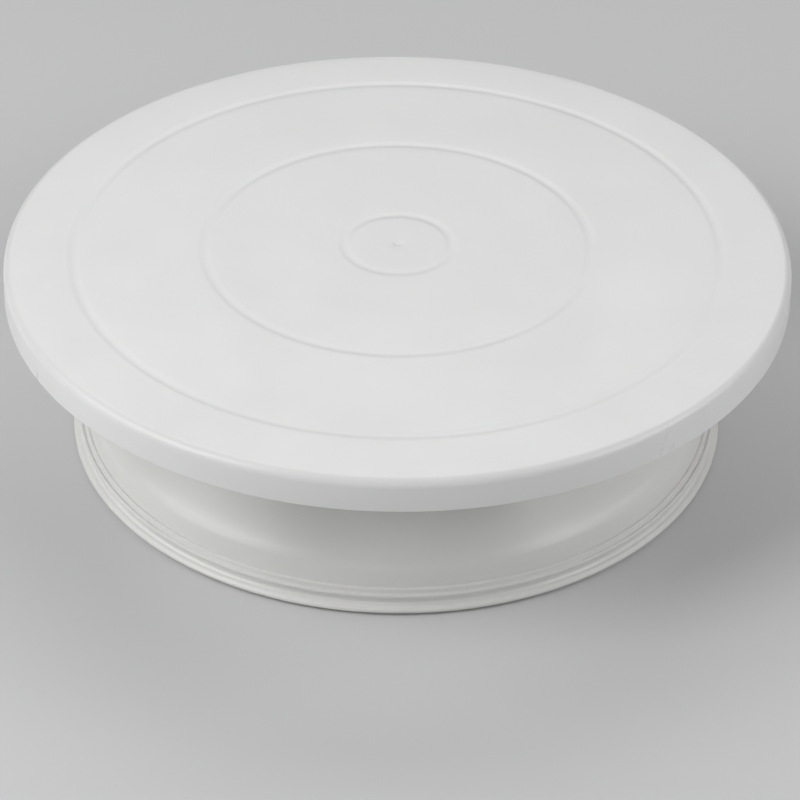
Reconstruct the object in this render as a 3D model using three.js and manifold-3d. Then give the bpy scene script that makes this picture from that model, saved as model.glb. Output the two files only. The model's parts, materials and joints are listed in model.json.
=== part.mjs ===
// Rotating cake stand: a round plate that spins on a ball race over a hollow conical pedestal.
// Millimetres, +Z up. The origin is on the axis of rotation, in the plane the rubber feet stand on.
import * as THREE from 'three';
import Module from 'manifold-3d';
import { mergeVertices } from 'three/addons/utils/BufferGeometryUtils.js';

const wasm = await Module();
wasm.setup();

// ---------------------------------------------------------------- driving dimensions
const TOTAL_H = 72.5;            // feet to top face
const PLATE_R = 140;           // plate outer radius, at the lower edge of the skirt
const SKIRT_FLARE = 0.4;       // how much the skirt widens downwards
const RIM_H = 11.8;            // height of the plate's outer skirt
const RIM_FILLET = 3;          // rounding of the plate's upper edge
const RIM_T = 2.6;             // skirt wall
const WEB_T = 3;               // plate thickness between ribs
const GROOVES = [19.1, 68.8, 115];   // centre radii of the ring grooves in the top face
const GROOVE_HALF = 2.3;       // half the width of a groove
const GROOVE_DEPTH = 0.35;
const PLATE_RIBS = 12;         // short ribs outside the ball track, hidden by the pedestal
const RIB_T = 2;
const PLATE_RIB_H = 4;
const RING_RIB_R = 115.2;       // outside of the ring rib under the plate
const RING_RIB_Z = 62.7;       // its lower edge

const FOOT_LIFT = 0.8;         // how far the rubber feet stand out below the pedestal
const DECK_Z = 60.5;             // top face of the pedestal's deck
const DECK_T = 3;
const HUB_GUSSETS = 8;         // between the hub and the deck
const GUSSET_R = 34;

const BALLS = 16;
const BALL_R = 3;
const TRACK_R = 42;            // radius of the ball circle
const BALL_Z = 64.5;             // height of the ball centres
const TRACK_GROOVE_R = 3.3;    // groove section of both tracks
const CAGE_T = 2;

const SPINDLE_R = 4;
const HUB_R = 12;
const HUB_BOTTOM = 46.5;
const GAP = 0.3;               // clearance between neighbouring pieces

const FEET = 6;
const FOOT_R = 5.5;
const FOOT_CIRCLE_R = 105;
const FOOT_T = 3;

const SEG_LARGE = 64;
const SEG_PEDESTAL = 64;
const WEB_Z = TOTAL_H - WEB_T; // underside of the plate's web
const BOSS_Z = 62.5;             // lower end of the plate's centre boss

// ---------------------------------------------------------------- helpers
const root = new THREE.Group();
const v2 = (pts) => pts.map(([r, z]) => new THREE.Vector2(r, z));

// Lathe turned upright: the profile's second coordinate becomes Z.
function lathe(points, segments, closed = false) {
  const pts = v2(points);
  if (closed) pts.push(pts[0].clone());
  const g = new THREE.LatheGeometry(pts, segments);
  g.rotateX(Math.PI / 2);
  return g;
}

function toSolid(geometry) {
  let g = geometry.clone();
  for (const name of Object.keys(g.attributes)) if (name !== 'position') g.deleteAttribute(name);
  g = mergeVertices(g, 1e-4);
  const pos = g.attributes.position.array;
  const idx = [];
  const src = g.index.array;
  for (let i = 0; i < src.length; i += 3) {
    if (src[i] !== src[i + 1] && src[i + 1] !== src[i + 2] && src[i] !== src[i + 2]) idx.push(src[i], src[i + 1], src[i + 2]);
  }
  // outward facing if the signed volume is positive
  let vol = 0;
  for (let i = 0; i < idx.length; i += 3) {
    const [a, b, c] = [idx[i] * 3, idx[i + 1] * 3, idx[i + 2] * 3];
    vol += pos[a] * (pos[b + 1] * pos[c + 2] - pos[b + 2] * pos[c + 1])
         - pos[a + 1] * (pos[b] * pos[c + 2] - pos[b + 2] * pos[c])
         + pos[a + 2] * (pos[b] * pos[c + 1] - pos[b + 1] * pos[c]);
  }
  if (vol < 0) for (let i = 0; i < idx.length; i += 3) [idx[i], idx[i + 1]] = [idx[i + 1], idx[i]];
  return new wasm.Manifold(new wasm.Mesh({
    numProp: 3,
    vertProperties: new Float32Array(pos),
    triVerts: new Uint32Array(idx),
  }));
}

function toGeometry(solid) {
  const m = solid.getMesh();
  const g = new THREE.BufferGeometry();
  const src = m.vertProperties;
  const n = src.length / m.numProp;
  const pos = new Float32Array(n * 3);
  for (let i = 0; i < n; i++) for (let k = 0; k < 3; k++) pos[3 * i + k] = src[m.numProp * i + k];
  g.setAttribute('position', new THREE.BufferAttribute(pos, 3));
  g.setIndex(new THREE.BufferAttribute(new Uint32Array(m.triVerts), 1));
  g.computeVertexNormals();
  return g;
}

const latheSolid = (pts, seg, closed = false) => toSolid(lathe(pts, seg, closed));

function cylinder(r, z0, z1, seg, x = 0, y = 0, phase = 0) {
  const g = new THREE.CylinderGeometry(r, r, z1 - z0, seg, 1, false, phase);
  g.rotateX(Math.PI / 2);
  g.translate(x, y, (z0 + z1) / 2);
  return toSolid(g);
}

// A flat upright rib from radius r0 to r1 at the given angle.
function rib(r0, r1, z0, z1, t, angle) {
  const g = new THREE.BoxGeometry(r1 - r0, t, z1 - z0);
  g.translate((r0 + r1) / 2, 0, (z0 + z1) / 2);
  g.rotateZ(angle);
  return toSolid(g);
}

// A flat upright rib with the given outline of radius and height.
function ribPlate(outline, t, angle) {
  const g = new THREE.ExtrudeGeometry(new THREE.Shape(v2(outline)), { depth: t, bevelEnabled: false });
  g.rotateX(Math.PI / 2);
  g.translate(0, t / 2, 0);
  g.rotateZ(angle);
  return toSolid(g);
}

function add(name, geometry, colour, roughness, metalness, x = 0, y = 0, z = 0) {
  const mesh = new THREE.Mesh(geometry, new THREE.MeshStandardMaterial({ color: colour, roughness, metalness }));
  mesh.name = name;
  mesh.position.set(x, y, z);
  root.add(mesh);
  return mesh;
}

// ---------------------------------------------------------------- plate
function plateSolid() {
  const f = RIM_FILLET;
  const rimZ = TOTAL_H - RIM_H;
  const p = [[0, TOTAL_H]];
  for (const g of GROOVES) {
    p.push([g - GROOVE_HALF, TOTAL_H], [g - 0.7, TOTAL_H - GROOVE_DEPTH], [g + 0.7, TOTAL_H - GROOVE_DEPTH], [g + GROOVE_HALF, TOTAL_H]);
  }
  for (const a of [90, 62, 34, 0]) {
    const t = a * Math.PI / 180;
    p.push([PLATE_R - SKIRT_FLARE - f + f * Math.cos(t), TOTAL_H - f + f * Math.sin(t)]);
  }
  p.push([PLATE_R, rimZ + 0.5], [PLATE_R - 0.5, rimZ], [PLATE_R - RIM_T, rimZ]);
  p.push([PLATE_R - RIM_T - 0.3, WEB_Z - 2], [PLATE_R - RIM_T - 2.2, WEB_Z]);
  // ring rib that the fingers meet
  const rr = RING_RIB_R;
  p.push([rr + 0.5, WEB_Z], [rr, WEB_Z - 0.6], [rr - 0.1, RING_RIB_Z + 0.4], [rr - 0.5, RING_RIB_Z], [rr - 1.7, RING_RIB_Z], [rr - 2.1, RING_RIB_Z + 0.4],
    [rr - 2.3, WEB_Z - 0.6], [rr - 2.9, WEB_Z], [0, WEB_Z]);
  let s = latheSolid(p, SEG_LARGE);

  // raised ring that holds the upper ball track
  const c = TRACK_GROOVE_R;
  const landZ = BALL_Z + 1.8;
  const a0 = Math.asin(1.8 / c);
  const track = [[48.4, WEB_Z + 1], [48, landZ]];
  for (const t of [a0, Math.PI / 3, Math.PI / 2, 2 * Math.PI / 3, Math.PI - a0]) track.push([TRACK_R + c * Math.cos(t), BALL_Z + c * Math.sin(t)]);
  track.push([36, landZ], [35.6, WEB_Z + 1]);
  s = s.add(latheSolid(track, 48, true));

  // short ribs outside the track ring
  for (let i = 0; i < PLATE_RIBS; i++) {
    s = s.add(rib(47, 66, WEB_Z - PLATE_RIB_H, WEB_Z + 1, RIB_T, i * 2 * Math.PI / PLATE_RIBS));
  }
  // centre boss, ribs to the track ring, and the blind hole for the spindle
  s = s.add(latheSolid([[0, WEB_Z + 1], [11, WEB_Z + 1], [10.4, BOSS_Z], [0, BOSS_Z]], 24));
  for (let i = 0; i < 6; i++) s = s.add(rib(8, 37, WEB_Z - 3, WEB_Z + 1, RIB_T, i * Math.PI / 3));
  s = s.subtract(cylinder(SPINDLE_R + GAP, BOSS_Z - 2, TOTAL_H - 2.3, 24));
  // moulding gate mark at the centre of the top face
  s = s.subtract(cylinder(1.6, TOTAL_H - 0.3, TOTAL_H + 1, 12));
  return s;
}

// ---------------------------------------------------------------- pedestal
// Outside of the pedestal, from its upper lip down the cone and the flare to the foot rim.
const CONE = [
  [72.6, 69.1], [73.6, 68.2], [75.2, 66.0], [80.2, 59.0], [87.0, 49.5], [93.8, 40.0], [99.0, 33.0], [102.3, 28.2], [105.3, 23.4],
  [107.7, 19.4], [109.2, 17.3], [110.7, 15.7], [111.8, 14.3], [112.6, 12.4], [113.1, 10.4], [113.4, 8.9], [113.75, 8.2], [114.3, 8.25], [114.9, 7.8],
  [115.4, 6.95], [116.0, 6.85], [116.6, 6.4], [116.9, 5.8], [117.0, 3.3], [117.4, 2.6], [118.3, 2.3], [118.95, 1.7], [119.0, 1.1], [118.8, FOOT_LIFT],
];
// Inside, from the foot rim back up to the underside of the deck.
const INSIDE = [
  [113.6, FOOT_LIFT], [113.3, 3.6], [112.6, 6.5], [110.6, 10.6], [108.6, 13.8], [106.6, 16.6], [102.9, 22.4], [97.0, 31.2], [89.9, 41.6], [83.0, 51.2],
  [80.4, DECK_Z - DECK_T - 2], [78.4, DECK_Z - DECK_T],
];

function pedestalSolid() {
  const lip = [[0, DECK_Z], [71.8, DECK_Z], [70.6, DECK_Z + 4], [70.2, 68.6], [70.7, 69.1]];
  let s = latheSolid([...lip, ...CONE, ...INSIDE, [0, DECK_Z - DECK_T]], SEG_PEDESTAL);
  const envelope = latheSolid([[0, 69.1], ...CONE, [0, FOOT_LIFT]], SEG_PEDESTAL);

  // lower ball track on the deck
  const c = TRACK_GROOVE_R;
  const landZ = BALL_Z - 1.8;
  const a0 = Math.asin(1.8 / c);
  const track = [[35.6, DECK_Z - 1], [36, landZ]];
  for (const t of [Math.PI - a0, 2 * Math.PI / 3, Math.PI / 2, Math.PI / 3, a0]) track.push([TRACK_R + c * Math.cos(t), BALL_Z - c * Math.sin(t)]);
  track.push([48, landZ], [48.4, DECK_Z - 1]);
  s = s.add(latheSolid(track, 48, true));

  // hub for the bush, with gussets up to the deck
  s = s.add(cylinder(HUB_R, HUB_BOTTOM, DECK_Z - 1, 24));
  for (let i = 0; i < HUB_GUSSETS; i++) {
    const a = (i + 0.5) * 2 * Math.PI / HUB_GUSSETS;
    s = s.add(ribPlate([[8, HUB_BOTTOM + 2.5], [14, HUB_BOTTOM + 2.5], [GUSSET_R, DECK_Z - DECK_T - 0.8], [GUSSET_R, DECK_Z - 1], [8, DECK_Z - 1]], RIB_T, a));
  }
  s = s.subtract(cylinder(7 + GAP, HUB_BOTTOM - 1, DECK_Z + 1, 24));

  // bosses that seat the rubber feet
  for (let i = 0; i < FEET; i++) {
    const a = i * 2 * Math.PI / FEET;
    const [x, y] = [FOOT_CIRCLE_R * Math.cos(a), FOOT_CIRCLE_R * Math.sin(a)];
    const boss = cylinder(FOOT_R + 2.3, FOOT_LIFT, 22, 16, x, y, a).intersect(envelope);
    s = s.add(boss).subtract(cylinder(FOOT_R + GAP, FOOT_LIFT - 1, FOOT_T + GAP, 16, x, y, a));
  }
  return s;
}

add('pedestal', toGeometry(pedestalSolid()), 0xe6e6e4, 0.42, 0);
add('turntable_plate', toGeometry(plateSolid()), 0xeeeeec, 0.38, 0);

// ---------------------------------------------------------------- ball race
function cageSolid() {
  const z0 = BALL_Z - CAGE_T / 2;
  const z1 = BALL_Z + CAGE_T / 2;
  let s = latheSolid([[37.2, z0], [46.8, z0], [46.8, z1], [37.2, z1]], 48, true);
  for (let i = 0; i < BALLS; i++) {
    const a = i * 2 * Math.PI / BALLS;
    s = s.subtract(cylinder(BALL_R + GAP, z0 - 1, z1 + 1, 12, TRACK_R * Math.cos(a), TRACK_R * Math.sin(a), a));
  }
  return s;
}
add('ball_cage', toGeometry(cageSolid()), 0xd9d6c8, 0.5, 0);

const ballProfile = [];
for (let i = 0; i <= 6; i++) {
  const t = -Math.PI / 2 + Math.PI * i / 6;
  ballProfile.push([i === 0 || i === 6 ? 0 : BALL_R * Math.cos(t), BALL_R * Math.sin(t)]);
}
for (let i = 0; i < BALLS; i++) {
  const a = i * 2 * Math.PI / BALLS;
  add(`bearing_ball_${String(i + 1).padStart(2, '0')}`, toGeometry(latheSolid(ballProfile, 12)), 0xb9bcc0, 0.18, 1,
    TRACK_R * Math.cos(a), TRACK_R * Math.sin(a), BALL_Z);
}

// ---------------------------------------------------------------- centre pivot
const SPINDLE_BOTTOM = HUB_BOTTOM - 2 * GAP;
const SPINDLE_TOP = TOTAL_H - 2.3 - GAP;
const SCREW_R = 2.1;
const SCREW_TIP = 56.5;

// Shaft with a tapped blind hole in its lower end for the screw.
add('spindle', toGeometry(latheSolid([
  [0, SPINDLE_TOP], [SPINDLE_R - 0.6, SPINDLE_TOP], [SPINDLE_R, SPINDLE_TOP - 0.6], [SPINDLE_R, SPINDLE_BOTTOM],
  [SCREW_R + GAP, SPINDLE_BOTTOM], [SCREW_R + GAP, SCREW_TIP + 0.4], [0, SCREW_TIP + 1.4],
], 24)), 0xb4b6ba, 0.3, 1);

// Flanged bush in the hub; the flange lies between the deck and the plate's boss.
add('hub_bush', toGeometry(latheSolid([
  [SPINDLE_R + GAP, HUB_BOTTOM - GAP], [7, HUB_BOTTOM - GAP], [7, DECK_Z + GAP], [10, DECK_Z + GAP], [10, BOSS_Z - GAP], [SPINDLE_R + GAP, BOSS_Z - GAP],
], 24, true)), 0x2b2b2d, 0.45, 0);

const WASHER_TOP = SPINDLE_BOTTOM - GAP;
const WASHER_T = 1.5;
add('retaining_washer', toGeometry(latheSolid([
  [2.7, WASHER_TOP - WASHER_T], [9, WASHER_TOP - WASHER_T], [9, WASHER_TOP], [2.7, WASHER_TOP],
], 24, true)), 0xc2c4c6, 0.32, 1);

// Pan-head screw, head down, with a cross recess.
function screwSolid() {
  const top = WASHER_TOP - WASHER_T - GAP;
  let s = latheSolid([
    [0, SCREW_TIP], [SCREW_R - 0.8, SCREW_TIP], [SCREW_R, SCREW_TIP - 1], [SCREW_R, top], [4.6, top],
    [4.6, top - 1.3], [3.6, top - 2.4], [0, top - 2.8],
  ], 20);
  for (const a of [0, Math.PI / 2]) {
    const g = new THREE.BoxGeometry(4.6, 1, 2.4);
    g.rotateZ(a);
    g.translate(0, 0, top - 2.8);
    s = s.subtract(toSolid(g));
  }
  return s;
}
add('retaining_screw', toGeometry(screwSolid()), 0xc8cacc, 0.28, 1);

// ---------------------------------------------------------------- rubber feet
for (let i = 0; i < FEET; i++) {
  const a = i * 2 * Math.PI / FEET;
  add(`rubber_foot_${i + 1}`, toGeometry(latheSolid([
    [0, 0], [FOOT_R - 0.5, 0], [FOOT_R, 0.5], [FOOT_R, FOOT_T], [0, FOOT_T],
  ], 16)), 0x3a3a3c, 0.85, 0, FOOT_CIRCLE_R * Math.cos(a), FOOT_CIRCLE_R * Math.sin(a), 0);
}

export default root;
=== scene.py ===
import json
import math
import bpy
import numpy as np
from mathutils import Matrix, Vector

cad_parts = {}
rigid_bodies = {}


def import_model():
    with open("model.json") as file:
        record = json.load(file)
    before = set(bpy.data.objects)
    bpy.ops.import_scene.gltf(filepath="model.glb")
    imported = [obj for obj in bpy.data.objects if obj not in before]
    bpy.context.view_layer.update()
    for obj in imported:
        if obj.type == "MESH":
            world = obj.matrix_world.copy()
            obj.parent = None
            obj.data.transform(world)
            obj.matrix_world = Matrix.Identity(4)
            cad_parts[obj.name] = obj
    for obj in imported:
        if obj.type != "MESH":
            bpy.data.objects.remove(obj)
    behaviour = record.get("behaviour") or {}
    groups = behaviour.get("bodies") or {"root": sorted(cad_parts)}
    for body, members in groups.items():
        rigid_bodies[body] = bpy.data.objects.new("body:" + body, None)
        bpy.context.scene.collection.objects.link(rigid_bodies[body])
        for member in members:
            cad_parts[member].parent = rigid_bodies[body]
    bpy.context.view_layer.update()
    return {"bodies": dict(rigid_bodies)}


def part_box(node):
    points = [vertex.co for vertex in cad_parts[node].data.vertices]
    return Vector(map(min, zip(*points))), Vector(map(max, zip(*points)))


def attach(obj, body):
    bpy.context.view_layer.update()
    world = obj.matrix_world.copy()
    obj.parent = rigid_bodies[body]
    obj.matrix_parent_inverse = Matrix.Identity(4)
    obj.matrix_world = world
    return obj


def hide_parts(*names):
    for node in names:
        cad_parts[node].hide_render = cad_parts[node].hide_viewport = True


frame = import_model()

# All shape numbers below are millimetres in the model's frame; meshes are written in metres.
MM = 0.001
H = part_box("turntable_plate")[1].z / MM          # top face above the feet
PLATE_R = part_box("turntable_plate")[1].x / MM
FOOT_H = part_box("rubber_foot_1")[1].z / MM
WEB_Z = H - 3.0
RIM_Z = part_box("turntable_plate")[0].z / MM      # lowest point of the skirt
GROOVES = (19.1, 68.8, 115.0)
BALL_Z = 0.5 * (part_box("bearing_ball_01")[0].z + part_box("bearing_ball_01")[1].z) / MM
TRACK_R = 42.0
TRACK_C = 3.3
BALL_R = 3.0
BALLS = 16
DECK_Z = 60.5
DECK_UNDER = 57.5
HUB_BOTTOM = 46.5
FOOT_CIRCLE = 105.0
GAP = 0.3
scene = bpy.context.scene


# ------------------------------------------------------------------ mesh helpers
def arc_corner(p0, p1, p2, radius, n=None):
    """Points of an arc of that radius that rounds the corner p1."""
    p0, p1, p2 = (np.array(p[:2], float) for p in (p0, p1, p2))
    a, b = p0 - p1, p2 - p1
    la, lb = np.linalg.norm(a), np.linalg.norm(b)
    if la < 1e-9 or lb < 1e-9:
        return [tuple(p1)]
    a, b = a / la, b / lb
    half = 0.5 * math.acos(max(-1.0, min(1.0, float(a @ b))))
    if half < 1e-4 or abs(half - math.pi / 2) < 1e-4:
        return [tuple(p1)]
    t = min(radius / math.tan(half), 0.48 * la, 0.48 * lb)
    r = t * math.tan(half)
    bis = (a + b) / np.linalg.norm(a + b)
    c = p1 + bis * (r / math.sin(half))
    s, e = p1 + a * t, p1 + b * t
    a0 = math.atan2(*(s - c)[::-1])
    a1 = math.atan2(*(e - c)[::-1])
    d = (a1 - a0 + math.pi) % (2 * math.pi) - math.pi
    if n is None:
        n = max(3, int(abs(d) / math.radians(9)) + 1, min(24, int(abs(d) * r / 1.2)))
    return [tuple(c + r * np.array([math.cos(a0 + d * i / n), math.sin(a0 + d * i / n)])) for i in range(n + 1)]


def rounded(points, closed=False):
    """points are (r, z) or (r, z, radius); gives the polyline with each corner rounded by its radius."""
    out = []
    n = len(points)
    for i, p in enumerate(points):
        end = not closed and i in (0, n - 1)
        if len(p) < 3 or p[2] <= 0 or end:
            out.append((p[0], p[1]))
        else:
            out.extend(arc_corner(points[i - 1], p, points[(i + 1) % n], p[2]))
    return out


def dense(poly, step, closed=False):
    """Long straight runs are split so that no edge is longer than step."""
    out = []
    n = len(poly)
    last = n if closed else n - 1
    for i in range(last):
        a, b = poly[i], poly[(i + 1) % n]
        k = max(1, int(math.hypot(b[0] - a[0], b[1] - a[1]) / step))
        for j in range(k):
            out.append((a[0] + (b[0] - a[0]) * j / k, a[1] + (b[1] - a[1]) * j / k))
    if not closed:
        out.append(poly[-1])
    return out


def smooth_curve(ctrl, per=6):
    """Centripetal Catmull-Rom curve through the control points."""
    P = [np.array(p, float) for p in ctrl]
    P = [2 * P[0] - P[1]] + P + [2 * P[-1] - P[-2]]
    out = []
    for i in range(1, len(P) - 2):
        p0, p1, p2, p3 = P[i - 1:i + 3]
        t0 = 0.0
        t1 = t0 + max(np.linalg.norm(p1 - p0), 1e-6) ** 0.5
        t2 = t1 + max(np.linalg.norm(p2 - p1), 1e-6) ** 0.5
        t3 = t2 + max(np.linalg.norm(p3 - p2), 1e-6) ** 0.5
        for k in range(per):
            t = t1 + (t2 - t1) * k / per
            a1 = (t1 - t) / (t1 - t0) * p0 + (t - t0) / (t1 - t0) * p1
            a2 = (t2 - t) / (t2 - t1) * p1 + (t - t1) / (t2 - t1) * p2
            a3 = (t3 - t) / (t3 - t2) * p2 + (t - t2) / (t3 - t2) * p3
            b1 = (t2 - t) / (t2 - t0) * a1 + (t - t0) / (t2 - t0) * a2
            b2 = (t3 - t) / (t3 - t1) * a2 + (t - t1) / (t3 - t1) * a3
            out.append(tuple((t2 - t) / (t2 - t1) * b1 + (t - t1) / (t2 - t1) * b2))
    out.append(tuple(P[-2]))
    return out


def make_object(name, verts, faces):
    me = bpy.data.meshes.new(name)
    me.from_pydata([tuple(v) for v in verts], [], [tuple(f) for f in faces])
    me.update()
    ob = bpy.data.objects.new(name, me)
    scene.collection.objects.link(ob)
    return ob


def outward(me):
    """Flips the faces if the closed mesh's signed volume is negative."""
    me.calc_loop_triangles()
    co = np.zeros(len(me.vertices) * 3)
    me.vertices.foreach_get("co", co)
    co = co.reshape(-1, 3)
    tri = np.zeros(len(me.loop_triangles) * 3, int)
    me.loop_triangles.foreach_get("vertices", tri)
    t = co[tri.reshape(-1, 3)]
    if np.einsum("ij,ij->i", t[:, 0], np.cross(t[:, 1], t[:, 2])).sum() < 0:
        me.flip_normals()


def revolve(name, poly, seg, closed=False, radial=None, cx=0.0, cy=0.0):
    """A profile of (r, z) in mm turned about the Z axis. An open profile starts and ends on the axis.
    radial(r, z, angle) may give a new radius."""
    verts, faces, rows = [], [], []
    for (r, z) in poly:
        if r < 1e-6:
            rows.append([len(verts)])
            verts.append((cx * MM, cy * MM, z * MM))
        else:
            row = []
            for k in range(seg):
                a = 2 * math.pi * k / seg
                rr = radial(r, z, a) if radial else r
                row.append(len(verts))
                verts.append(((cx + rr * math.cos(a)) * MM, (cy + rr * math.sin(a)) * MM, z * MM))
            rows.append(row)
    n = len(rows)
    for i in range(n if closed else n - 1):
        A, B = rows[i], rows[(i + 1) % n]
        if len(A) == 1 and len(B) == 1:
            continue
        for k in range(seg):
            k2 = (k + 1) % seg
            if len(A) == 1:
                faces.append((A[0], B[k], B[k2]))
            elif len(B) == 1:
                faces.append((A[k], B[0], A[k2]))
            else:
                faces.append((A[k], B[k], B[k2], A[k2]))
    ob = make_object(name, verts, faces)
    outward(ob.data)
    return ob


def prism(name, outline, t, angle, chamfer=0.0):
    """An upright slab: an outline of (r, z) in mm, t thick, standing in the half plane at that angle."""
    m = len(outline)
    c, s = math.cos(angle), math.sin(angle)
    verts = []
    for side in (-1, 1):
        for (r, z) in outline:
            y = side * t / 2
            verts.append(((r * c - y * s) * MM, (r * s + y * c) * MM, z * MM))
    faces = [tuple(range(m)), tuple(range(2 * m - 1, m - 1, -1))]
    for i in range(m):
        j = (i + 1) % m
        faces.append((i, i + m, j + m, j))
    ob = make_object(name, verts, faces)
    outward(ob.data)
    if chamfer:
        mod = ob.modifiers.new("b", "BEVEL")
        mod.width = chamfer * MM
        mod.segments = 3
        mod.limit_method = "ANGLE"
        apply_all(ob)
    return ob


def apply_all(ob):
    bpy.context.view_layer.update()
    dg = bpy.context.evaluated_depsgraph_get()
    me = bpy.data.meshes.new_from_object(ob.evaluated_get(dg))
    ob.modifiers.clear()
    old = ob.data
    ob.data = me
    bpy.data.meshes.remove(old)
    return ob


def joined(name, obs):
    verts, faces = [], []
    for o in obs:
        base = len(verts)
        verts.extend(tuple(v.co) for v in o.data.vertices)
        faces.extend(tuple(base + i for i in p.vertices) for p in o.data.polygons)
    for o in obs:
        me = o.data
        bpy.data.objects.remove(o)
        bpy.data.meshes.remove(me)
    return make_object(name, verts, faces)


def boolean(ob, tool, op):
    """ob = ob op tool, and the tool is removed."""
    before = len(ob.data.polygons)
    for solver in ("MANIFOLD", "EXACT"):
        mod = ob.modifiers.new("x", "BOOLEAN")
        mod.operation = op
        mod.object = tool
        mod.solver = solver
        bpy.context.view_layer.update()
        dg = bpy.context.evaluated_depsgraph_get()
        me = bpy.data.meshes.new_from_object(ob.evaluated_get(dg))
        ob.modifiers.clear()
        if len(me.polygons) > 8 and (op != "UNION" or len(me.polygons) != before):
            break
        if solver == "EXACT":
            raise RuntimeError(f"boolean {op} on {ob.name} gave {len(me.polygons)} faces")
        bpy.data.meshes.remove(me)
    old = ob.data
    ob.data = me
    bpy.data.meshes.remove(old)
    tm = tool.data
    bpy.data.objects.remove(tool)
    bpy.data.meshes.remove(tm)
    return ob


def polish(ob, angle=32.0):
    """Smooth shading with sharp edges kept, and two vertex attributes for the materials:
    wear on convex edges, and in concave ones a mask for dirt and painted shade."""
    me = ob.data
    me.shade_smooth()
    me.set_sharp_from_angle(angle=math.radians(angle))
    nv, ne = len(me.vertices), len(me.edges)
    co = np.zeros(nv * 3)
    me.vertices.foreach_get("co", co)
    co = co.reshape(-1, 3)
    ev = np.zeros(ne * 2, int)
    me.edges.foreach_get("vertices", ev)
    ev = ev.reshape(-1, 2)
    nl = len(me.loops)
    le = np.zeros(nl, int)
    me.loops.foreach_get("edge_index", le)
    tot = np.zeros(len(me.polygons), int)
    me.polygons.foreach_get("loop_total", tot)
    lf = np.repeat(np.arange(len(me.polygons)), tot)
    fn = np.zeros(len(me.polygons) * 3)
    me.polygons.foreach_get("normal", fn)
    fn = fn.reshape(-1, 3)
    fc = np.zeros(len(me.polygons) * 3)
    me.polygons.foreach_get("center", fc)
    fc = fc.reshape(-1, 3)
    order = np.argsort(le, kind="stable")
    e_sorted, f_sorted = le[order], lf[order]
    cnt = np.bincount(e_sorted, minlength=ne)
    first = np.concatenate([[0], np.cumsum(cnt)[:-1]])
    two = cnt == 2
    idx = np.where(two)[0]
    f0, f1 = f_sorted[first[idx]], f_sorted[first[idx] + 1]
    ang = np.arccos(np.clip(np.einsum("ij,ij->i", fn[f0], fn[f1]), -1, 1))
    # face centres far apart mean a gentle bend, so the turn is taken per length
    dist = np.linalg.norm(fc[f1] - fc[f0], axis=1) + 2e-4
    side = np.einsum("ij,ij->i", fc[f1] - fc[f0], fn[f0])
    curv = np.minimum(ang / dist * 4e-4, 1.0)
    vex = np.where(side < -1e-9, curv, 0)
    cave = np.where(side > 1e-9, curv, 0)
    # concave creases get a mask that the materials darken: partly dirt, partly painted shade where the crease lies in
    # shadow
    wear, dirt_and_shade = np.zeros(nv), np.zeros(nv)
    for k in (0, 1):
        np.maximum.at(wear, ev[idx, k], vex)
        np.maximum.at(dirt_and_shade, ev[idx, k], cave)
    for arr in (wear, dirt_and_shade):
        for _ in range(2):
            acc, num = arr.copy(), np.ones(nv)
            np.add.at(acc, ev[:, 0], arr[ev[:, 1]])
            np.add.at(acc, ev[:, 1], arr[ev[:, 0]])
            np.add.at(num, ev[:, 0], 1)
            np.add.at(num, ev[:, 1], 1)
            arr[:] = np.maximum(acc / num, arr * 0.6)
    for key, arr in (("wear", wear), ("dirt_and_shade", dirt_and_shade)):
        at = me.attributes.new(key, "FLOAT", "POINT")
        at.data.foreach_set("value", arr.astype(np.float32))
    return ob


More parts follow.
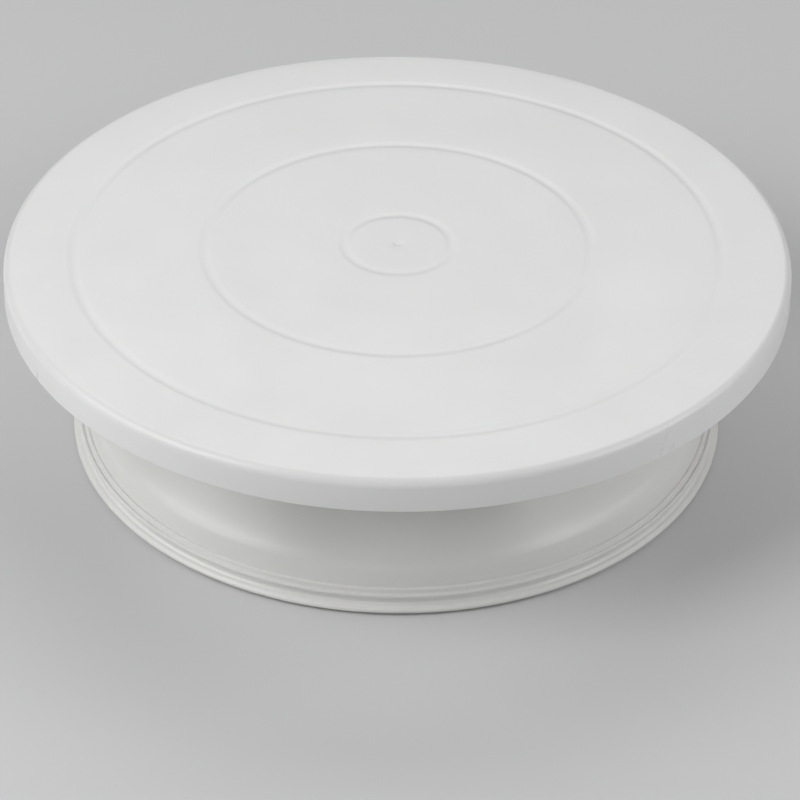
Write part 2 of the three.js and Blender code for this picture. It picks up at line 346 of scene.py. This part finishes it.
# ------------------------------------------------------------------ material helpers
class Net:
    def __init__(self, name):
        self.mat = bpy.data.materials.new(name)
        self.mat.use_nodes = True
        self.nt = self.mat.node_tree
        self.bsdf = self.nt.nodes["Principled BSDF"]
        self.tc = self.new("ShaderNodeTexCoord")

    def new(self, kind, **props):
        n = self.nt.nodes.new(kind)
        for k, v in props.items():
            setattr(n, k, v)
        return n

    def link(self, a, b):
        self.nt.links.new(a, b)

    def put(self, socket, value):
        if isinstance(value, bpy.types.NodeSocket):
            self.link(value, socket)
        else:
            socket.default_value = value

    def noise(self, scale, detail=3.0, rough=0.5, vec=None, distortion=0.0):
        n = self.new("ShaderNodeTexNoise")
        n.inputs["Scale"].default_value = scale
        n.inputs["Detail"].default_value = detail
        n.inputs["Roughness"].default_value = rough
        n.inputs["Distortion"].default_value = distortion
        self.link(vec or self.tc.outputs["Object"], n.inputs["Vector"])
        return n.outputs["Fac"]

    def math(self, op, a, b=0.0, c=None, clamp=False):
        n = self.new("ShaderNodeMath", operation=op, use_clamp=clamp)
        self.put(n.inputs[0], a)
        self.put(n.inputs[1], b)
        if c is not None:
            self.put(n.inputs[2], c)
        return n.outputs[0]

    def span(self, value, a, b, lo, hi, smooth=False):
        n = self.new("ShaderNodeMapRange")
        if smooth:
            n.interpolation_type = "SMOOTHSTEP"
        self.put(n.inputs["Value"], value)
        for key, v in (("From Min", a), ("From Max", b), ("To Min", lo), ("To Max", hi)):
            n.inputs[key].default_value = v
        return n.outputs["Result"]

    def mix(self, fac, a, b, blend="MIX"):
        n = self.new("ShaderNodeMix", data_type="RGBA", blend_type=blend)
        self.put(n.inputs[0], fac)
        for sock, v in ((n.inputs[6], a), (n.inputs[7], b)):
            self.put(sock, v if isinstance(v, bpy.types.NodeSocket) else (*v, 1.0))
        return n.outputs[2]

    def attr(self, name):
        n = self.new("ShaderNodeAttribute", attribute_name=name)
        return n.outputs["Fac"]

    def bump(self, height, strength, distance, chain=None):
        n = self.new("ShaderNodeBump")
        n.inputs["Strength"].default_value = strength
        n.inputs["Distance"].default_value = distance
        self.put(n.inputs["Height"], height)
        if chain is not None:
            self.link(chain, n.inputs["Normal"])
        return n.outputs["Normal"]

    def polar(self, r_scale, a_scale, z_scale):
        """A vector of (radius, angle, height), for marks that run round the axis."""
        sep = self.new("ShaderNodeSeparateXYZ")
        self.link(self.tc.outputs["Object"], sep.inputs[0])
        x, y, z = sep.outputs
        r = self.math("SQRT", self.math("ADD", self.math("MULTIPLY", x, x), self.math("MULTIPLY", y, y)))
        a = self.math("ARCTAN2", y, x)
        # the angle enters as sine and cosine so that the marks have no seam
        com = self.new("ShaderNodeCombineXYZ")
        self.link(self.math("MULTIPLY", r, r_scale), com.inputs[0])
        self.link(self.math("ADD", self.math("MULTIPLY", self.math("SINE", a), a_scale), self.math("MULTIPLY", z, z_scale)), com.inputs[1])
        self.link(self.math("MULTIPLY", self.math("COSINE", a), a_scale), com.inputs[2])
        return com.outputs[0]


def white_plastic(name, tone, warm, rough, grain, marks, grime_and_shade):
    n = Net(name)
    b = n.bsdf
    cloud = n.span(n.noise(22, 4, 0.55), 0.3, 0.7, 0.0, 1.0, True)
    dark = tuple(c * 0.982 for c in tone)
    light = tuple(min(1.0, c * 1.006) for c in tone)
    col = n.mix(cloud, dark, light)
    speck = n.span(n.noise(900, 2, 0.6), 0.35, 0.7, 0.0, 0.05)
    col = n.mix(speck, col, warm)
    # faint flow marks from the moulding, running out from the axis
    flow = n.span(n.noise(1.0, 5, 0.62, vec=n.polar(9, 9.0, 20)), 0.42, 0.66, 0.0, 0.02, True)
    col = n.mix(flow, col, warm)
    # painted shade: concave creases are darkened towards a dark warm tone, partly as dirt and partly as the shade
    # that falls there; the last argument sets how strongly
    dirt_and_shade = n.math("MULTIPLY", n.attr("dirt_and_shade"), n.span(n.noise(140, 5, 0.65), 0.35, 0.7, 0.15, 0.75), clamp=True)
    col = n.mix(n.math("MULTIPLY", dirt_and_shade, grime_and_shade), col, tuple(c * 0.62 for c in warm))
    worn = n.math("MULTIPLY", n.attr("wear"), n.span(n.noise(210, 6, 0.7), 0.38, 0.62, 0.0, 1.0), clamp=True)
    col = n.mix(n.math("MULTIPLY", worn, 0.35), col, (0.93, 0.93, 0.925))
    n.link(col, b.inputs["Base Color"])
    # roughness: handling smudges, fine rubbed rings, burnished edges
    smudge = n.span(n.noise(31, 7, 0.6, distortion=0.6), 0.35, 0.68, rough - 0.055, rough + 0.06)
    rings = n.span(n.noise(1.0, 4, 0.7, vec=n.polar(2600, 2.2, 300)), 0.5, 0.78, 0.0, 0.07 * marks)
    r = n.math("SUBTRACT", n.math("ADD", smudge, rings), n.math("MULTIPLY", worn, 0.10))
    r = n.math("ADD", r, n.math("MULTIPLY", dirt_and_shade, 0.15), clamp=True)
    n.link(r, b.inputs["Roughness"])
    # surface: slight waviness of the moulding, spark-eroded grain, hairline scratches
    nor = n.bump(n.noise(14, 2, 0.4), 0.35, 0.00035)
    nor = n.bump(n.noise(1500, 3, 0.6), grain, 0.00006, nor)
    scratch = n.span(n.noise(1.0, 2, 0.5, vec=n.polar(4200, 1.4, 500)), 0.66, 0.74, 0.0, 1.0)
    # only on level faces, where a knife or a wiping cloth reaches
    up = n.new("ShaderNodeSeparateXYZ")
    n.link(n.tc.outputs["Normal"], up.inputs[0])
    scratch = n.math("MULTIPLY", scratch, n.span(up.outputs[2], 0.95, 0.995, 0.0, 1.0))
    nor = n.bump(scratch, 0.10 * marks, 0.00002, nor)
    n.link(nor, b.inputs["Normal"])
    b.inputs["IOR"].default_value = 1.49
    b.inputs["Subsurface Weight"].default_value = 0.12
    b.inputs["Subsurface Radius"].default_value = (1.0, 0.93, 0.82)
    b.inputs["Subsurface Scale"].default_value = 0.0012
    return n.mat


def metal(name, tone, rough, turned, spread=0.08):
    n = Net(name)
    b = n.bsdf
    b.inputs["Metallic"].default_value = 1.0
    cloud = n.span(n.noise(160, 5, 0.6), 0.3, 0.7, 0.0, 1.0, True)
    col = n.mix(cloud, tuple(c * 0.88 for c in tone), tone)
    # concave creases darkened almost to black: partly dirt, partly painted shade
    dirt_and_shade = n.math("MULTIPLY", n.attr("dirt_and_shade"), n.span(n.noise(500, 4, 0.6), 0.3, 0.7, 0.3, 1.0), clamp=True)
    col = n.mix(n.math("MULTIPLY", dirt_and_shade, 0.7), col, (0.10, 0.095, 0.085))
    worn = n.math("MULTIPLY", n.attr("wear"), n.span(n.noise(700, 4, 0.6), 0.35, 0.6, 0.2, 1.0), clamp=True)
    col = n.mix(n.math("MULTIPLY", worn, 0.6), col, tuple(min(1, c * 1.22) for c in tone))
    n.link(col, b.inputs["Base Color"])
    lines = n.noise(1.0, 4, 0.65, vec=n.polar(9000 if turned else 500, 1.2, 9000))
    r = n.span(lines, 0.3, 0.7, rough - spread, rough + spread)
    r = n.math("SUBTRACT", r, n.math("MULTIPLY", worn, 0.08), clamp=True)
    n.link(n.math("ADD", r, n.math("MULTIPLY", dirt_and_shade, 0.3), clamp=True), b.inputs["Roughness"])
    nor = n.bump(lines, 0.22 if turned else 0.05, 0.00002)
    nor = n.bump(n.noise(2500, 3, 0.6), 0.06, 0.00001, nor)
    n.link(nor, b.inputs["Normal"])
    return n.mat


def rubber(name):
    n = Net(name)
    b = n.bsdf
    cloud = n.span(n.noise(120, 6, 0.6), 0.3, 0.7, 0.0, 1.0, True)
    col = n.mix(cloud, (0.028, 0.028, 0.029), (0.050, 0.050, 0.051))
    dust = n.math("MULTIPLY", n.span(n.noise(650, 5, 0.7), 0.48, 0.7, 0.0, 1.0), 0.35)
    col = n.mix(dust, col, (0.16, 0.155, 0.145))
    worn = n.math("MULTIPLY", n.attr("wear"), n.span(n.noise(900, 4, 0.6), 0.4, 0.6, 0.3, 1.0), clamp=True)
    col = n.mix(n.math("MULTIPLY", worn, 0.5), col, (0.12, 0.12, 0.12))
    n.link(col, b.inputs["Base Color"])
    n.link(n.span(n.noise(300, 4, 0.6), 0.3, 0.7, 0.68, 0.9), b.inputs["Roughness"])
    nor = n.bump(n.noise(2200, 4, 0.7), 0.35, 0.00008)
    n.link(nor, b.inputs["Normal"])
    b.inputs["Specular IOR Level"].default_value = 0.35
    return n.mat


def nylon(name, tone, hi, rough, sss):
    n = Net(name)
    b = n.bsdf
    col = n.mix(n.span(n.noise(180, 5, 0.6), 0.3, 0.7, 0.0, 1.0, True), tone, hi)
    worn = n.math("MULTIPLY", n.attr("wear"), n.span(n.noise(600, 4, 0.6), 0.4, 0.65, 0.0, 1.0), clamp=True)
    col = n.mix(n.math("MULTIPLY", worn, 0.5), col, tuple(min(1, 0.12 + c * 1.15) for c in hi))
    # concave creases darkened: partly dirt, partly painted shade
    dirt_and_shade = n.math("MULTIPLY", n.attr("dirt_and_shade"), 0.5, clamp=True)
    col = n.mix(dirt_and_shade, col, tuple(c * 0.5 for c in tone))
    n.link(col, b.inputs["Base Color"])
    n.link(n.span(n.noise(90, 6, 0.6), 0.3, 0.7, rough - 0.07, rough + 0.08), b.inputs["Roughness"])
    nor = n.bump(n.noise(1800, 3, 0.6), 0.10, 0.00003)
    nor = n.bump(n.noise(60, 2, 0.5), 0.25, 0.0001, nor)
    n.link(nor, b.inputs["Normal"])
    b.inputs["Subsurface Weight"].default_value = sss
    b.inputs["Subsurface Scale"].default_value = 0.0006
    return n.mat


M_PLATE = white_plastic("plate_plastic", (0.800, 0.802, 0.800), (0.790, 0.775, 0.735), 0.33, 0.10, 0.5, 0.05)
# the pedestal's creases are darkened far more than the plate's, mostly as painted shade in the grooves of its foot
# rim; its warmer tone is partly the plastic's own colour and partly painted warm shade of the neck under the plate
M_STAND = white_plastic("pedestal_plastic", (0.752, 0.750, 0.734), (0.730, 0.710, 0.655), 0.34, 0.14, 0.3, 0.62)
M_CAGE = nylon("cage_plastic", (0.66, 0.63, 0.53), (0.76, 0.73, 0.64), 0.45, 0.25)
M_BUSH = nylon("bush_plastic", (0.014, 0.014, 0.016), (0.026, 0.026, 0.028), 0.42, 0.0)
M_BALL = metal("ball_steel", (0.62, 0.63, 0.65), 0.12, False, 0.05)
M_SPINDLE = metal("spindle_steel", (0.56, 0.57, 0.59), 0.28, True)
M_WASHER = metal("washer_steel", (0.62, 0.64, 0.66), 0.34, True)
M_SCREW = metal("screw_steel", (0.64, 0.65, 0.67), 0.30, True)
M_FOOT = rubber("foot_rubber")


def place(ob, body, slot_name, mat, *nodes, angle=32.0):
    polish(ob, angle)
    ob.data.materials.clear()
    ob.data.materials.append(mat)
    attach(ob, body)
    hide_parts(*nodes)
    return ob


SEG = 448


# ------------------------------------------------------------------ plate
def groove(r0, half=2.6, depth=0.24):
    """A soft rounded channel in the top face: the shoulders roll over into a shallow round bottom."""
    pts = []
    for k in range(-10, 11):
        u = k / 10
        s = 0.5 * (1 + math.cos(math.pi * u))
        pts.append((r0 + u * half, H - depth * s ** 0.85))
    return pts


def track(up):
    """Section of a ball track, from its outer land to its inner land for the plate, the other way for the deck."""
    land = BALL_Z + (1.8 if up else -1.8)
    a0 = math.asin(1.8 / TRACK_C)
    arc = []
    for k in range(17):
        t = a0 + (math.pi - 2 * a0) * k / 16
        arc.append((TRACK_R + TRACK_C * math.cos(t), BALL_Z + (TRACK_C if up else -TRACK_C) * math.sin(t)))
    return land, arc


def plate():
    top = [(0, H - 0.28), (0.9, H - 0.27), (1.45, H - 0.17), (1.75, H - 0.04), (2.1, H)]
    for g in GROOVES:
        top += groove(g)
    outer = rounded([
        (PLATE_R - 12, H), (PLATE_R - 0.42, H, 3.0), (PLATE_R, RIM_Z, 0.5), (PLATE_R - 2.6, RIM_Z, 0.45), (PLATE_R - 2.95, WEB_Z, 2.0),
        (116.4, WEB_Z, 1.2), (115.2, WEB_Z - 1.0, 0.6), (115.1, 62.7, 0.6), (113.3, 62.7, 0.6), (113.1, WEB_Z - 1.0, 0.6), (111.8, WEB_Z, 1.2),
        (60, WEB_Z)])
    land, arc = track(True)
    under = rounded([(60, WEB_Z), (48.5, WEB_Z, 1.0), (48.0, land, 0.3), (arc[0][0], land)])
    under += arc[1:-1]
    under += rounded([(arc[-1][0], land), (36, land, 0.3), (35.5, WEB_Z, 1.0), (11.6, WEB_Z, 1.2), (10.4, 62.5, 0.4), (4.7, 62.5, 0.0), (4.3, 62.9, 0.0), (4.3, 70.2, 0.4), (0, 70.2)])
    poly = dense(top, 3.0) + dense(outer, 3.0) + dense(under[1:], 2.5)
    clean = [poly[0]]
    for p in poly[1:]:
        if math.hypot(p[0] - clean[-1][0], p[1] - clean[-1][1]) > 1e-3:
            clean.append(p)
    ob = revolve("turntable_plate_shell", clean, SEG)
    ribs = []
    for i in range(12):
        ribs.append(prism("r", [(47.2, 65.7), (61, 65.7), (65.5, 69.9), (47.2, 69.9)], 1.9, i * math.pi / 6, 0.35))
    for i in range(6):
        ribs.append(prism("r", [(9.0, 66.7), (37.0, 66.7), (37.0, 69.9), (9.0, 69.9)], 1.9, i * math.pi / 3, 0.3))
    boolean(ob, joined("ribs", ribs), "UNION")
    # round marks that the ejector pins leave under the web
    pins = []
    for k in range(12):
        a = (k + 0.5) * math.pi / 6
        pins.append(revolve("p", [(0, WEB_Z - 1), (3.0, WEB_Z - 1), (3.0, WEB_Z + 0.12), (2.8, WEB_Z + 0.18), (0, WEB_Z + 0.18)], 40, cx=92 * math.cos(a), cy=92 * math.sin(a)))
    for k in range(8):
        a = (k + 0.25) * math.pi / 4
        pins.append(revolve("p", [(0, WEB_Z - 1), (2.5, WEB_Z - 1), (2.5, WEB_Z + 0.12), (2.3, WEB_Z + 0.18), (0, WEB_Z + 0.18)], 40, cx=127 * math.cos(a), cy=127 * math.sin(a)))
    boolean(ob, joined("pins", pins), "DIFFERENCE")
    return place(ob, "plate", "plate_plastic", M_PLATE, "turntable_plate")


# ------------------------------------------------------------------ pedestal
CONE = [
    (73.6, 68.1), (75.2, 65.9), (80.2, 59.0), (87.0, 49.5), (93.8, 40.0), (99.0, 33.0), (102.3, 28.2), (105.3, 23.4), (107.7, 19.4), (109.2, 17.3),
    (110.7, 15.6), (111.7, 14.2), (112.5, 12.3), (113.0, 10.4), (113.35, 9.0),
]
RIM = [
    (113.55, 8.3, 0.35), (113.8, 7.75, 0.2), (114.25, 8.2, 0.3), (114.9, 7.95, 0.35), (115.2, 6.8, 0.3), (115.6, 6.35, 0.2), (116.05, 6.95, 0.3), (116.8, 6.7, 0.35),
    (116.85, 5.9, 0.4), (116.25, 4.9, 0.6), (116.2, 3.6, 0.4), (116.9, 2.75, 0.4), (117.9, 2.75, 0.4), (118.9, 2.1, 0.5), (119.0, 1.3, 0.35), (118.7, 0.8, 0.3),
]
INSIDE = [
    (113.6, 0.8, 0.4), (113.2, 3.6, 3.0), (112.5, 6.5, 3.0), (110.6, 10.6, 6.0), (106.5, 16.6, 10.0), (102.9, 22.4, 20.0), (97.0, 31.2, 30.0), (89.9, 41.6, 30.0), (83.0, 51.2, 30.0), (80.6, 55.5, 3.0), (78.6, DECK_UNDER, 1.4),
]


def wall_r(z, table):
    zs = [p[1] for p in table]
    rs = [p[0] for p in table]
    o = np.argsort(zs)
    return float(np.interp(z, np.array(zs)[o], np.array(rs)[o]))


def pedestal():
    cone = smooth_curve(CONE, 7)
    outer = rounded([(71.0, 69.1), (72.7, 69.1, 0.7), (73.6, 68.1, 0.3), (75.0, 66.2)])[:-1] + cone[8:]
    land, arc = track(False)
    arc = arc[::-1]
    up = rounded([
        (7.3, 52.5), (7.3, DECK_Z, 0.35), (35.4, DECK_Z, 0.8), (36.0, land, 0.3), (arc[0][0], land)])
    up += arc[1:-1]
    up += rounded([(arc[-1][0], land), (48.0, land, 0.3), (48.6, DECK_Z, 0.8), (71.8, DECK_Z, 1.6), (70.6, 64.5, 2.0), (70.2, 69.1, 0.4), (71.0, 69.1)])
    rim = rounded([CONE[-1]] + RIM + INSIDE + [(12.6, DECK_UNDER, 1.2), (12.0, HUB_BOTTOM, 0.5), (7.3, HUB_BOTTOM, 0.35), (7.3, 52.5)])
    poly = up + outer[1:] + rim[1:-1]
    clean = []
    for p in dense(poly, 3.2, closed=True):
        if not clean or math.hypot(p[0] - clean[-1][0], p[1] - clean[-1][1]) > 1e-3:
            clean.append(p)
    ob = revolve("pedestal_body", clean, SEG, closed=True)
    ribs = []
    for i in range(8):
        a = (i + 0.5) * math.pi / 4
        ribs.append(prism("r", [(10.0, 49.0), (14.0, 49.0), (34.0, 56.7), (34.0, 59.3), (10.0, 59.3)], 1.9, a, 0.3))
    # bosses that seat the rubber feet, kept inside the middle of the wall
    env = revolve("env", [(0, 42), (92.0, 40.8), (98.3, 31.7), (103.2, 25.0), (105.6, 20.6), (107.6, 17.4), (109.6, 14.6), (111.4, 11.6), (112.7, 7.6), (114.0, 4.0), (114.9, 0.75), (0, 0.75)], SEG)
    bosses = []
    for i in range(6):
        a = i * math.pi / 3
        bosses.append(revolve("b", rounded([(0, 0.8), (7.8, 0.8, 0.4), (7.4, 22.5), (0, 22.5)]), 72, cx=FOOT_CIRCLE * math.cos(a), cy=FOOT_CIRCLE * math.sin(a)))
    bosses = boolean(joined("bosses", bosses), env, "INTERSECT")
    boolean(ob, joined("adds", ribs + [bosses]), "UNION")
    cuts = []
    for i in range(6):
        a = i * math.pi / 3
        cuts.append(revolve("c", [(0, -1), (6.35, -1), (6.35, 0.7), (5.8, 1.25), (5.8, FOOT_H + 0.15), (5.6, FOOT_H + GAP), (0, FOOT_H + GAP)], 72, cx=FOOT_CIRCLE * math.cos(a), cy=FOOT_CIRCLE * math.sin(a)))
    # ejector marks under the deck
    for k in range(8):
        a = k * math.pi / 4
        cuts.append(revolve("p", [(0, DECK_UNDER - 1), (3.0, DECK_UNDER - 1), (3.0, DECK_UNDER + 0.12), (2.8, DECK_UNDER + 0.18), (0, DECK_UNDER + 0.18)], 40, cx=60 * math.cos(a), cy=60 * math.sin(a)))
    boolean(ob, joined("cuts", cuts), "DIFFERENCE")
    return place(ob, "stand", "pedestal_plastic", M_STAND, "pedestal")


# ------------------------------------------------------------------ ball race
def cage():
    z0, z1 = BALL_Z - 1.0, BALL_Z + 1.0
    ob = revolve("ball_cage_ring", rounded([(37.2, z0, 0.3), (46.8, z0, 0.3), (46.8, z1, 0.3), (37.2, z1, 0.3)], closed=True), SEG, closed=True)
    cut = []
    for i in range(BALLS):
        a = 2 * math.pi * i / BALLS
        prof = [(0, z0 - 1), (4.3, z0 - 1), (3.3 + 0.25, z0 - 0.05), (3.3, z0 + 0.3), (3.3, z1 - 0.3), (3.3 + 0.25, z1 + 0.05), (4.3, z1 + 1), (0, z1 + 1)]
        cut.append(revolve("c", prof, 48, cx=TRACK_R * math.cos(a), cy=TRACK_R * math.sin(a)))
    # shallow lightening slots between the pockets, in the upper face only
    for i in range(BALLS):
        a = 2 * math.pi * (i + 0.5) / BALLS
        cut.append(revolve("c", rounded([(0, z1 - 0.7), (1.6, z1 - 0.7, 0.3), (1.8, z1 + 1), (0, z1 + 1)]), 32, cx=TRACK_R * math.cos(a), cy=TRACK_R * math.sin(a)))
    boolean(ob, joined("cuts", cut), "DIFFERENCE")
    return place(ob, "cage", "cage_plastic", M_CAGE, "ball_cage")


def ball(i):
    a = 2 * math.pi * i / BALLS
    node = f"bearing_ball_{i + 1:02d}"
    n = 32
    prof = [(0 if k in (0, n) else BALL_R * math.sin(math.pi * k / n), BALL_Z - BALL_R * math.cos(math.pi * k / n)) for k in range(n + 1)]
    ob = revolve(node + "_polished", prof, 64, cx=TRACK_R * math.cos(a), cy=TRACK_R * math.sin(a))
    body = f"ball_{i + 1:02d}" if f"ball_{i + 1:02d}" in frame["bodies"] else "cage"
    return place(ob, body, "ball_steel", M_BALL, node)


# ------------------------------------------------------------------ centre pivot
def spindle():
    lo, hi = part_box("spindle")[0].z / MM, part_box("spindle")[1].z / MM

    def knurl(r, z, a):
        # straight knurling where the shaft is pressed into the plate's boss
        if z > hi - 7.2 and z < hi - 0.9 and r > 3.5:
            return r - 0.16 * (0.5 + 0.5 * math.cos(36 * a))
        return r
    pts = [(0, hi), (3.2, hi, 0.1), (4.0, hi - 0.8, 0.1), (4.0, hi - 7.2), (4.0, hi - 7.4, 0.05), (3.7, hi - 7.6, 0.1), (3.7, hi - 8.4, 0.1), (4.0, hi - 8.7, 0.05),
           (4.0, lo + 0.5, 0.1), (3.6, lo, 0.1), (2.75, lo, 0.05), (2.4, lo + 0.4, 0.05), (2.4, 56.9, 0.1), (0, 57.9)]
    ob = revolve("spindle_shaft", dense(rounded(pts), 0.8), 288, radial=knurl)
    return place(ob, "plate", "spindle_steel", M_SPINDLE, "spindle", angle=40)


def bush():
    b0, b1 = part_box("hub_bush")[0].z / MM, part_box("hub_bush")[1].z / MM
    pts = [(4.3, b0 + 0.5, 0.1), (4.8, b0, 0.1), (6.5, b0, 0.1), (7.0, b0 + 0.6, 0.2), (7.0, DECK_Z + GAP - 0.5, 0.1), (6.8, DECK_Z + GAP - 0.25, 0.1), (6.9, DECK_Z + GAP, 0.05), (10.0, DECK_Z + GAP, 0.3),
           (10.0, b1, 0.4), (4.8, b1, 0.1), (4.3, b1 - 0.5, 0.1)]
    ob = revolve("hub_bush_sleeve", dense(rounded(pts, closed=True), 1.5, closed=True), 144, closed=True)
    cut = []
    for k in range(3):
        # lubrication grooves across the flange's bearing face
        a = k * 2 * math.pi / 3
        cut.append(prism("g", [(4.0, b1 - 0.25), (10.6, b1 - 0.25), (10.6, b1 + 1), (4.0, b1 + 1)], 0.9, a))
    boolean(ob, joined("g", cut), "DIFFERENCE")
    return place(ob, "stand", "bush_plastic", M_BUSH, "hub_bush")


def washer():
    w0, w1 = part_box("retaining_washer")[0].z / MM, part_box("retaining_washer")[1].z / MM
    # a punched washer: one face has rolled edges, the other a sharper burr side
    pts = [(2.7, w0, 0.30), (9.0, w0, 0.35), (9.0, w1, 0.12), (2.7, w1, 0.12)]
    ob = revolve("retaining_washer_disc", dense(rounded(pts, closed=True), 0.8, closed=True), 160, closed=True)
    return place(ob, "plate", "washer_steel", M_WASHER, "retaining_washer")


def screw():
    lo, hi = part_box("retaining_screw")[0].z / MM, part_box("retaining_screw")[1].z / MM
    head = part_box("retaining_washer")[0].z / MM - GAP
    pitch = 0.7
    # threaded shank: the radius follows a helical V section
    zs = np.arange(head + 0.9, hi - 0.55, 0.05)

    def thread(r, z, a):
        if z < head + 0.9 or z > hi - 0.55 or r < 1.5:
            return r
        ph = (z / pitch - a / (2 * math.pi)) % 1.0
        v = 1 - abs(2 * ph - 1)
        fade = min(1.0, (z - head - 0.9) / 0.8, (hi - 0.55 - z) / 0.5)
        return 2.1 - 0.38 * (1 - v) * max(0.0, fade)
    cap = [(0, lo), (0.8, lo + 0.03), (1.7, lo + 0.16), (2.6, lo + 0.45), (3.4, lo + 0.9), (4.0, lo + 1.5), (4.4, lo + 2.1), (4.6, lo + 2.6), (4.6, head - 0.1), (4.5, head), (2.5, head), (2.15, head + 0.12), (2.1, head + 0.4), (2.1, head + 0.85)]
    tip = [(2.1, hi - 0.5), (1.5, hi), (0, hi)]
    poly = dense(cap, 0.35) + [(2.1, float(z)) for z in zs] + tip
    ob = revolve("retaining_screw_threaded", poly, 96, radial=thread)
    cut = []
    for a in (0, math.pi / 2):
        # tapered wings of the cross recess
        w = prism("w", [(-2.3, lo - 0.5), (2.3, lo - 0.5), (2.2, lo + 0.6), (1.0, lo + 1.25), (-1.0, lo + 1.25), (-2.2, lo + 0.6)], 0.95, a, 0.0)
        cut.append(w)
    for w in cut:
        boolean(ob, w, "DIFFERENCE")
    return place(ob, "plate", "screw_steel", M_SCREW, "retaining_screw", angle=40)


# ------------------------------------------------------------------ rubber feet
def foot(i):
    a = i * math.pi / 3
    node = f"rubber_foot_{i + 1}"
    pts = [(0, 0.35), (1.3, 0.35, 0.1), (1.6, 0.0, 0.12), (2.2, 0.0, 0.12), (2.45, 0.3, 0.1), (3.0, 0.3, 0.1), (3.25, 0.0, 0.12), (3.85, 0.0, 0.12), (4.1, 0.3, 0.1), (4.5, 0.3, 0.1), (4.7, 0.0, 0.12),
           (5.2, 0.0, 0.35), (5.5, 0.6, 0.4), (5.5, FOOT_H, 0.25), (0, FOOT_H)]
    ob = revolve(node + "_pad", rounded(pts), 72, cx=FOOT_CIRCLE * math.cos(a), cy=FOOT_CIRCLE * math.sin(a))
    return place(ob, "stand", "foot_rubber", M_FOOT, node)


plate()
pedestal()
cage()
for i in range(BALLS):
    ball(i)
spindle()
bush()
washer()
screw()
for i in range(6):
    foot(i)


# ------------------------------------------------------------------ stage, light and camera
def floor():
    n = Net("floor_paint")
    cloud = n.span(n.noise(1.3, 4, 0.5), 0.3, 0.7, 0.0, 1.0, True)
    n.link(n.mix(cloud, (0.625, 0.627, 0.630), (0.650, 0.652, 0.655)), n.bsdf.inputs["Base Color"])
    n.link(n.span(n.noise(5, 4, 0.5), 0.3, 0.7, 0.55, 0.65), n.bsdf.inputs["Roughness"])
    n.link(n.bump(n.noise(900, 2, 0.5), 0.04, 0.0001), n.bsdf.inputs["Normal"])
    n.bsdf.inputs["Specular IOR Level"].default_value = 0.3
    s = 6.0
    ob = make_object("studio_floor", [(-s, -s, -0.0004), (s, -s, -0.0004), (s, s, -0.0004), (-s, s, -0.0004)], [(0, 1, 2, 3)])
    ob.data.materials.append(n.mat)


def area(name, loc, target, sx, sy, watts, colour=(1, 1, 1)):
    li = bpy.data.lights.new(name, "AREA")
    li.shape = "RECTANGLE"
    li.size, li.size_y = sx, sy
    li.energy = watts
    li.color = colour
    ob = bpy.data.objects.new(name, li)
    scene.collection.objects.link(ob)
    d = Vector(target) - Vector(loc)
    ob.matrix_world = Matrix.Translation(Vector(loc)) @ d.to_track_quat("-Z", "Y").to_matrix().to_4x4()
    return ob


def softbox(name, azimuth, elevation, sx, sy, watts, far=1.4):
    """A soft light at that azimuth (0 in front, positive to the right) and elevation, aimed at the object."""
    a, e = math.radians(azimuth), math.radians(elevation)
    return area(name, (far * math.cos(e) * math.sin(a), -far * math.cos(e) * math.cos(a), far * math.sin(e) + 0.04), (0, 0, 0.04), sx, sy, watts)


floor()
softbox("softbox_left_low", -60, 30, 0.6, 0.6, 3.9)
softbox("softbox_left_high", -60, 50, 0.6, 0.6, 4.5)
softbox("softbox_left_side", -90, 35, 0.7, 0.7, 3.7)
softbox("softbox_left_edge", -75, 18, 0.6, 0.5, 1.9)
softbox("softbox_right_low", 60, 30, 0.6, 0.6, 4.4)
softbox("softbox_right_side", 90, 35, 0.7, 0.7, 4.2)
softbox("softbox_front", 0, 25, 0.8, 0.5, 1.5)
softbox("softbox_back", 180, 45, 1.4, 0.8, 6.6)
world = bpy.data.worlds.new("studio")
world.use_nodes = True
bg = world.node_tree.nodes["Background"]
bg.inputs[0].default_value = (0.97, 0.98, 1.0, 1.0)
bg.inputs[1].default_value = 0.012
scene.world = world
scene.view_settings.view_transform = "Standard"
scene.view_settings.look = "None"
scene.view_settings.exposure = 0.0
scene.view_settings.gamma = 1.0

cam_data = bpy.data.cameras.new("camera")
cam_data.sensor_fit = "HORIZONTAL"
cam_data.sensor_width = 36.0
cam_data.lens = 124.680
cam_data.shift_x = 0.00450
cam_data.dof.use_dof = False
cam_data.clip_start, cam_data.clip_end = 0.02, 50.0
cam = bpy.data.objects.new("camera", cam_data)
scene.collection.objects.link(cam)
pitch, roll, elev, dist = 0.625345, 0.008528, 0.568891, 0.988410
fwd = Vector((0, math.cos(pitch), -math.sin(pitch)))
right = Vector((1, 0, 0))
upv = Vector((0, math.sin(pitch), math.cos(pitch)))
r2 = right * math.cos(roll) + upv * math.sin(roll)
u2 = upv * math.cos(roll) - right * math.sin(roll)
m = Matrix((
    (r2.x, u2.x, -fwd.x, 0.0),
    (r2.y, u2.y, -fwd.y, -dist * math.cos(elev)),
    (r2.z, u2.z, -fwd.z, H * MM + dist * math.sin(elev)),
    (0, 0, 0, 1)))
cam.matrix_world = m
scene.camera = cam

bpy.context.view_layer.update()
